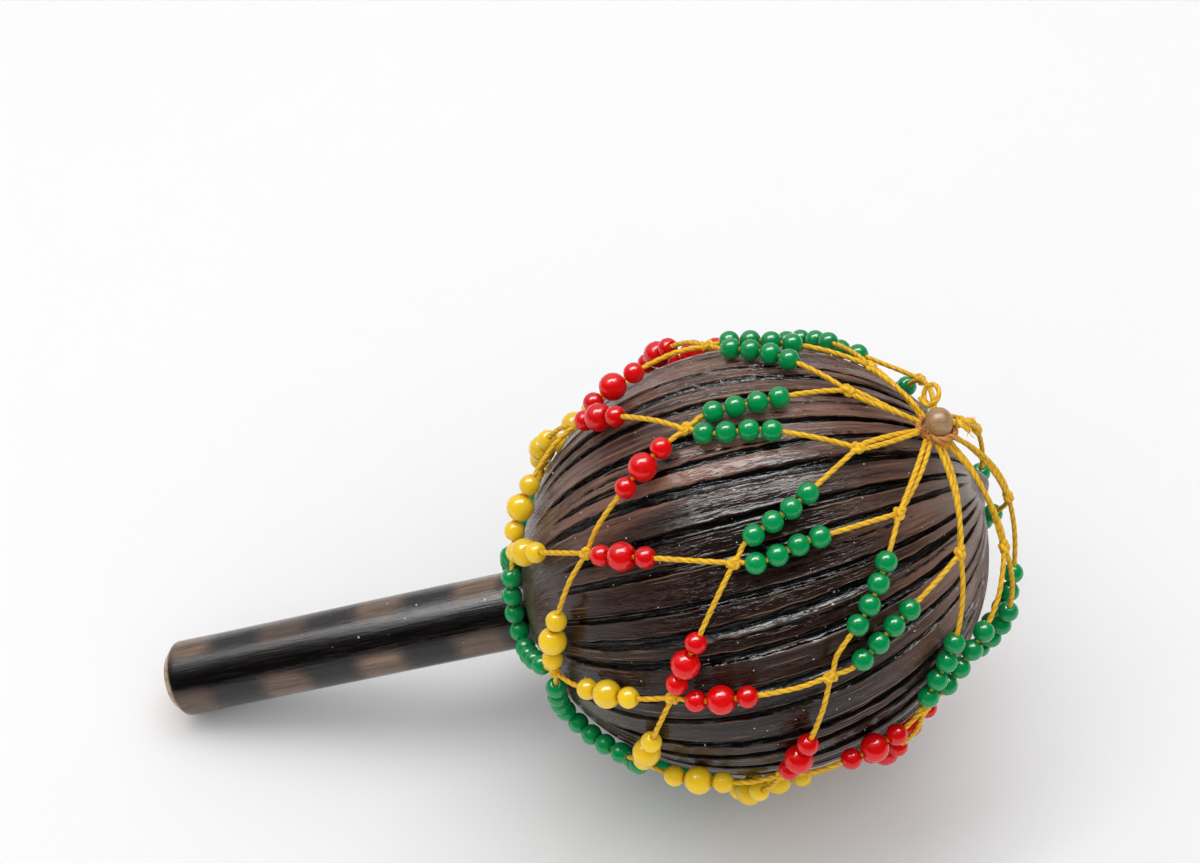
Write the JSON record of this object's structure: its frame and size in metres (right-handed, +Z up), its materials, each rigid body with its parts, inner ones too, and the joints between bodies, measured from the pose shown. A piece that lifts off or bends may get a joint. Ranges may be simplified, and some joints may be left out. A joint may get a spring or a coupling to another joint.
{
  "type": "coconut-shell cabasa",
  "caption": "Hollow carved coconut shell on a round scorched wooden handle, in a loose tied net of coloured beads that turns round the shell to rattle.",
  "frame": {"origin": "on the table, under the middle of the lying instrument's box", "axes": "+Z up, +X from the butt of the handle towards the shell, +Y away from the picture's viewer"},
  "size_m": [0.2528, 0.1384, 0.1361],
  "materials": {
    "shell": "dark carved coconut shell under glossy lacquer",
    "handle": "scorched dowel with tan patches under glossy lacquer",
    "wooden_bead": "satin turned wood",
    "cord": "twisted waxed cord",
    "green_beads": "glossy",
    "red_beads": "glossy",
    "yellow_beads": "glossy"
  },
  "bodies": {
    "shell_and_handle": {"shell": "shell", "handle": "handle"},
    "bead_net": {"crown_ring": "cord", "pole_bead": "wooden_bead", "bead_knot": "cord", "crown_loop": "cord", "crown_cord_1": "cord", "crown_cord_2": "cord", "crown_cord_3": "cord", "crown_cord_4": "cord", "crown_cord_5": "cord", "crown_cord_6": "cord", "crown_cord_7": "cord", "crown_cord_8": "cord", "crown_cord_9": "cord", "green_vee_1": "green_beads", "green_vee_2": "green_beads", "green_vee_3": "green_beads", "green_vee_4": "green_beads", "green_vee_5": "green_beads", "green_vee_6": "green_beads", "green_vee_7": "green_beads", "green_vee_8": "green_beads", "green_vee_9": "green_beads", "red_vee_1": "red_beads", "red_vee_2": "red_beads", "red_vee_3": "red_beads", "red_vee_4": "red_beads", "red_vee_5": "red_beads", "red_vee_6": "red_beads", "red_vee_7": "red_beads", "red_vee_8": "red_beads", "red_vee_9": "red_beads", "yellow_vee_1": "yellow_beads", "yellow_vee_2": "yellow_beads", "yellow_vee_3": "yellow_beads", "yellow_vee_4": "yellow_beads", "yellow_vee_5": "yellow_beads", "yellow_vee_6": "yellow_beads", "yellow_vee_7": "yellow_beads", "yellow_vee_8": "yellow_beads", "yellow_vee_9": "yellow_beads", "hem_scallop_1": "green_beads", "hem_scallop_2": "green_beads", "hem_scallop_3": "green_beads", "hem_scallop_4": "green_beads", "hem_scallop_5": "green_beads", "hem_scallop_6": "green_beads", "hem_scallop_7": "green_beads", "hem_scallop_8": "green_beads", "hem_scallop_9": "green_beads"}
  },
  "joints": [
    {"name": "net_turn", "type": "hinge", "parent": "shell_and_handle", "child": "bead_net", "pos_m": [0.04982, -0.0004, 0.06793], "axis": [0.9485, 0, 0.3168], "continuous": true}
  ]
}
